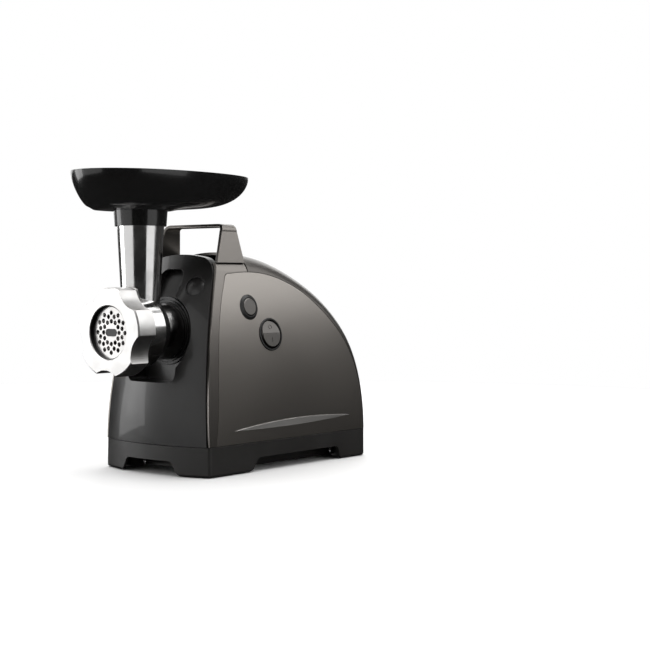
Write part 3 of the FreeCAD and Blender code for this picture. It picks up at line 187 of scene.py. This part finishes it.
def lacquer(name, dark, light, rough, metallic=1.0, flake=0.00002):
    """A metallic lacquer: fine flake sparkle under a thin clear coat."""
    made = Nodes(name)
    colour = made.blend_colours(made.noise(5.0, 2.0), dark, light)
    colour = made.wear(colour, [RUBBED_GAIN * part for part in light], 0.0004)
    made.link(colour, made.shader.inputs["Base Color"])
    smudge = made.noise(11.0, 2.0)
    gloss = made.spread(smudge, rough - 0.01, rough + 0.014, *LACQUER_RANGE)
    made.link(gloss, made.shader.inputs["Roughness"])
    made.bump(made.noise(5200.0, 1.0), flake, 0.5)
    made.shader.inputs["Metallic"].default_value = metallic
    made.shader.inputs["Coat Weight"].default_value = LACQUER_COAT_WEIGHT
    made.shader.inputs["Coat Roughness"].default_value = LACQUER_COAT_ROUGHNESS
    return made.material


def metal(name, dark, light, rough, brush=None, brush_height=0.00001, painted_shade_radius=None,
          rubbed_and_sheen_gain=RUBBED_GAIN, rubbed_and_sheen_width=0.0005):
    """A bare metal with brushed or cast texture, brighter along rubbed edges (on the bright trim
    partly a painted highlight). Inside a radius about the head's axis the colour is painted dark:
    painted shade on the nut's inner wall."""
    made = Nodes(name)
    colour = made.blend_colours(made.noise(22.0, 5.0), dark, light)
    colour = made.wear(colour, [min(1.0, rubbed_and_sheen_gain * part) for part in light], rubbed_and_sheen_width)
    # Painted shade: inside the given radius about the head's axis the colour turns dark.
    if painted_shade_radius:
        mix = made.add("ShaderNodeMix", data_type="RGBA")
        mix.inputs[7].default_value = PAINTED_SHADE_INSIDE
        made.link(made.near_axis(painted_shade_radius, HEAD_HEIGHT), mix.inputs[0])
        made.link(colour, mix.inputs[6])
        colour = mix.outputs[2]
    made.link(colour, made.shader.inputs["Base Color"])
    streak = made.noise(60.0, 4.0, stretch=brush) if brush else made.noise(70.0, 4.0)
    made.link(made.spread(streak, rough - 0.04, rough + 0.06), made.shader.inputs["Roughness"])
    fine = made.noise(900.0, 2.0, stretch=brush) if brush else made.noise(1500.0, 2.0)
    made.bump(fine, brush_height, 0.6)
    made.shader.inputs["Metallic"].default_value = 1.0
    return made.material


HEAD_HEIGHT = 0.153
NUT_OPENING = 0.0282
gunmetal = lacquer("gunmetal_lacquer", (0.325, 0.303, 0.282), (0.365, 0.342, 0.318), 0.295)
warm_grey = lacquer("warm_grey_lacquer", (0.215, 0.201, 0.187), (0.245, 0.229, 0.213), 0.295)
cover_grey = lacquer("cover_lacquer", (0.115, 0.108, 0.101), (0.140, 0.131, 0.122), 0.31)
skirt_plastic = plastic("skirt_plastic", (0.010, 0.0095, 0.009), (0.017, 0.016, 0.015), 0.40,
                        2600.0, 0.00004, worn=(0.05, 0.05, 0.048))
black_plastic = plastic("black_plastic", (0.005, 0.005, 0.005), (0.010, 0.010, 0.010), 0.36,
                        2600.0, 0.00003)
gloss_black = plastic("gloss_black", (0.005, 0.0046, 0.0046), (0.008, 0.0075, 0.007), 0.32,
                      380.0, 0.00001, 0.25, 0.03, (0.03, 0.03, 0.03))
tray_black = plastic("tray_black", (0.004, 0.004, 0.004), (0.008, 0.008, 0.008), 0.20,
                     420.0, 0.00001, 0.4, 0.03, (0.03, 0.03, 0.03))
button_grey = lacquer("button_lacquer", (0.140, 0.134, 0.127), (0.165, 0.158, 0.150), 0.38)
# The bright trim's edges are lightened far beyond wear: a painted highlight along the blade's
# edges, with some rubbed wear.
bright_trim = metal("bright_trim", (0.44, 0.43, 0.415), (0.50, 0.49, 0.475), 0.40, (1, 0.1, 1),
                    rubbed_and_sheen_gain=1.9, rubbed_and_sheen_width=0.0012)
# The nut's inner wall is painted dark, as painted shade.
satin_metal = metal("satin_metal", (0.69, 0.68, 0.67), (0.77, 0.765, 0.755), 0.36,
                    painted_shade_radius=NUT_OPENING)
polished_metal = metal("polished_metal", (0.74, 0.735, 0.73), (0.84, 0.835, 0.83), 0.13)
cast_metal = metal("cast_metal", (0.66, 0.66, 0.65), (0.78, 0.78, 0.77), 0.34)
steel = metal("steel", (0.60, 0.59, 0.58), (0.68, 0.67, 0.66), 0.33)
rubber = plastic("rubber", (0.010, 0.010, 0.010), (0.016, 0.016, 0.016), 0.75, 1500.0, 0.00006)
nylon = plastic("nylon", (0.70, 0.68, 0.60), (0.80, 0.78, 0.70), 0.45, 1400.0, 0.00003)
dark_nylon = plastic("dark_nylon", (0.03, 0.03, 0.032), (0.05, 0.05, 0.052), 0.5, 1800.0, 0.00004)
lamination = metal("lamination", (0.12, 0.12, 0.125), (0.2, 0.2, 0.2), 0.5, (1, 60, 1), 0.0001)
copper = metal("copper", (0.55, 0.22, 0.10), (0.70, 0.32, 0.16), 0.32, (1, 40, 1), 0.0001)
brass = metal("brass", (0.62, 0.45, 0.18), (0.72, 0.54, 0.24), 0.33)

NODE_MATERIALS = {
    "base_housing": skirt_plastic, "bottom_plate": skirt_plastic, "rubber_feet": rubber,
    "bottom_screws": steel, "front_cover": gloss_black, "band_right": warm_grey,
    "band_left": warm_grey, "carry_handle": warm_grey, "side_panel_right": gunmetal,
    "side_panel_left": gunmetal, "top_cover": cover_grey, "trim_blade_right": bright_trim,
    "trim_blade_left": bright_trim, "reverse_bezel": black_plastic, "reverse_button": button_grey,
    "reverse_switch": black_plastic, "power_bezel": black_plastic, "power_rocker": button_grey,
    "power_switch": black_plastic, "release_bezel": black_plastic, "release_button": gloss_black,
    "head_socket": black_plastic, "head_housing": polished_metal, "auger_bushing": nylon,
    "auger": cast_metal, "knife": steel, "perforated_plate": steel, "plate_bush": black_plastic,
    "ring_nut": satin_metal, "hopper_tray": tray_black, "output_shaft": steel,
    "output_gear": nylon, "gear_2": nylon, "gear_1": nylon, "gear_pins": steel,
    "gearbox_housing": dark_nylon, "gearbox_cover": dark_nylon, "gearbox_screws": steel,
    "motor_shaft": steel, "rotor_core": lamination, "commutator": copper,
    "cooling_fan": black_plastic, "motor_stator": lamination, "motor_windings": copper,
    "motor_bracket_front": steel, "motor_bracket_rear": steel, "motor_bearings": steel,
    "brush_holders": brass, "cord_gland": rubber,
}
for name, material in NODE_MATERIALS.items():
    mesh = nodes[name].data
    mesh.materials.clear()
    mesh.materials.append(material)


# ---- camera, floor and light ----

CAMERA_AZIMUTH = 39.5
CAMERA_PLACE = (1.1021, -1.134, 0.207)
CAMERA_LENS = 77.5
CAMERA_SHIFT_Y = -0.0677
FLOOR_RADIUS = 1.3
FLOOR_SIDES = 128
FLOOR_DARK = (0.86, 0.86, 0.86)
FLOOR_LIGHT = (0.88, 0.88, 0.88)
FLOOR_ROUGHNESS = 0.6
MIDDLE = Vector((0, 0, 0.15))
ROOM_COLOUR = (1, 0.985, 0.97, 1)
ROOM_LOW = 0.015
ROOM_HIGH = 0.35
HORIZON_FROM = -0.1
HORIZON_TO = 0.9
OVERHEAD_PLACE = (0, 0.1, 2.1)
OVERHEAD_SIZE = (3.2, 3.2)
OVERHEAD_RADIANCE = 2.3
# Lights round the object: name, azimuth, elevation, distance, size and radiance. Azimuths run
# from +X towards +Y, and the camera stands at about -46 degrees.
SIDE_LIGHTS = [
    ("left_wall", -112, 12, 1.9, (2.3, 1.7), 0.8),
    ("left_strip", -149, 6, 1.7, (0.8, 1.0), 2.9),
    ("right_wall", 6, 12, 1.8, (1.5, 1.2), 0.9),
    ("right_upper", 44, 28, 1.9, (1.3, 1.0), 1.4),
    ("rear_fill", 118, 24, 2.0, (1.4, 1.2), 1.5),
    ("far_side", 172, 22, 1.9, (1.4, 1.2), 1.5),
]


def make_camera():
    """A level camera at the viewing angle, with a shift that frames the object."""
    camera = bpy.data.objects.new("camera", bpy.data.cameras.new("camera"))
    camera.location = CAMERA_PLACE
    camera.rotation_euler = (radians(90), 0, radians(CAMERA_AZIMUTH))
    camera.data.lens = CAMERA_LENS
    camera.data.shift_y = CAMERA_SHIFT_Y
    bpy.context.scene.collection.objects.link(camera)
    bpy.context.scene.camera = camera


def make_floor():
    """A plain pale disc that glossy surfaces don't mirror."""
    work = bmesh.new()
    bmesh.ops.create_circle(work, cap_ends=True, segments=FLOOR_SIDES, radius=FLOOR_RADIUS)
    floor = piece_from_bmesh("floor", work)
    made = Nodes("floor_paint")
    made.link(made.blend_colours(made.noise(2.0), FLOOR_DARK, FLOOR_LIGHT),
              made.shader.inputs["Base Color"])
    made.shader.inputs["Roughness"].default_value = FLOOR_ROUGHNESS
    floor.data.materials.append(made.material)
    floor.visible_glossy = False


def around(azimuth, elevation, distance):
    """A place round the object, from its angles in degrees and its distance."""
    turn, rise = radians(azimuth), radians(elevation)
    return Vector((distance * cos(rise) * cos(turn), distance * cos(rise) * sin(turn),
                   MIDDLE.z + distance * sin(rise)))


def soft_box(name, place, size, radiance):
    """A rectangular light aimed at the object's middle; radiance is its brightness."""
    data = bpy.data.lights.new(name, "AREA")
    data.shape = "RECTANGLE"
    data.size, data.size_y = size
    data.energy = radiance * pi * size[0] * size[1]
    light = bpy.data.objects.new(name, data)
    light.location = place
    light.rotation_euler = (MIDDLE - Vector(place)).to_track_quat("-Z", "Y").to_euler()
    bpy.context.scene.collection.objects.link(light)


def make_world():
    """White behind the object for the camera; a dim room that brightens upwards for the rest."""
    world = bpy.data.worlds.new("studio")
    world.use_nodes = True
    tree = world.node_tree
    room = tree.nodes["Background"]
    backdrop = tree.nodes.new("ShaderNodeBackground")
    backdrop.inputs["Color"].default_value = (1, 1, 1, 1)
    direction = tree.nodes.new("ShaderNodeTexCoord")
    parts = tree.nodes.new("ShaderNodeSeparateXYZ")
    ramp = tree.nodes.new("ShaderNodeMapRange")
    ramp.inputs["From Min"].default_value = HORIZON_FROM
    ramp.inputs["From Max"].default_value = HORIZON_TO
    ramp.inputs["To Min"].default_value = ROOM_LOW
    ramp.inputs["To Max"].default_value = ROOM_HIGH
    path = tree.nodes.new("ShaderNodeLightPath")
    mix = tree.nodes.new("ShaderNodeMixShader")
    tree.links.new(direction.outputs["Generated"], parts.inputs["Vector"])
    tree.links.new(parts.outputs["Z"], ramp.inputs["Value"])
    tree.links.new(ramp.outputs["Result"], room.inputs["Strength"])
    tree.links.new(path.outputs["Is Camera Ray"], mix.inputs[0])
    tree.links.new(room.outputs["Background"], mix.inputs[1])
    tree.links.new(backdrop.outputs["Background"], mix.inputs[2])
    tree.links.new(mix.outputs["Shader"], tree.nodes["World Output"].inputs["Surface"])
    room.inputs["Color"].default_value = ROOM_COLOUR
    bpy.context.scene.world = world


def make_lights():
    """One large overhead light and the side lights."""
    soft_box("overhead", OVERHEAD_PLACE, OVERHEAD_SIZE, OVERHEAD_RADIANCE)
    for name, azimuth, elevation, distance, size, radiance in SIDE_LIGHTS:
        soft_box(name, around(azimuth, elevation, distance), size, radiance)


make_camera()
make_floor()
make_world()
make_lights()
bpy.context.scene.view_settings.view_transform = "Standard"
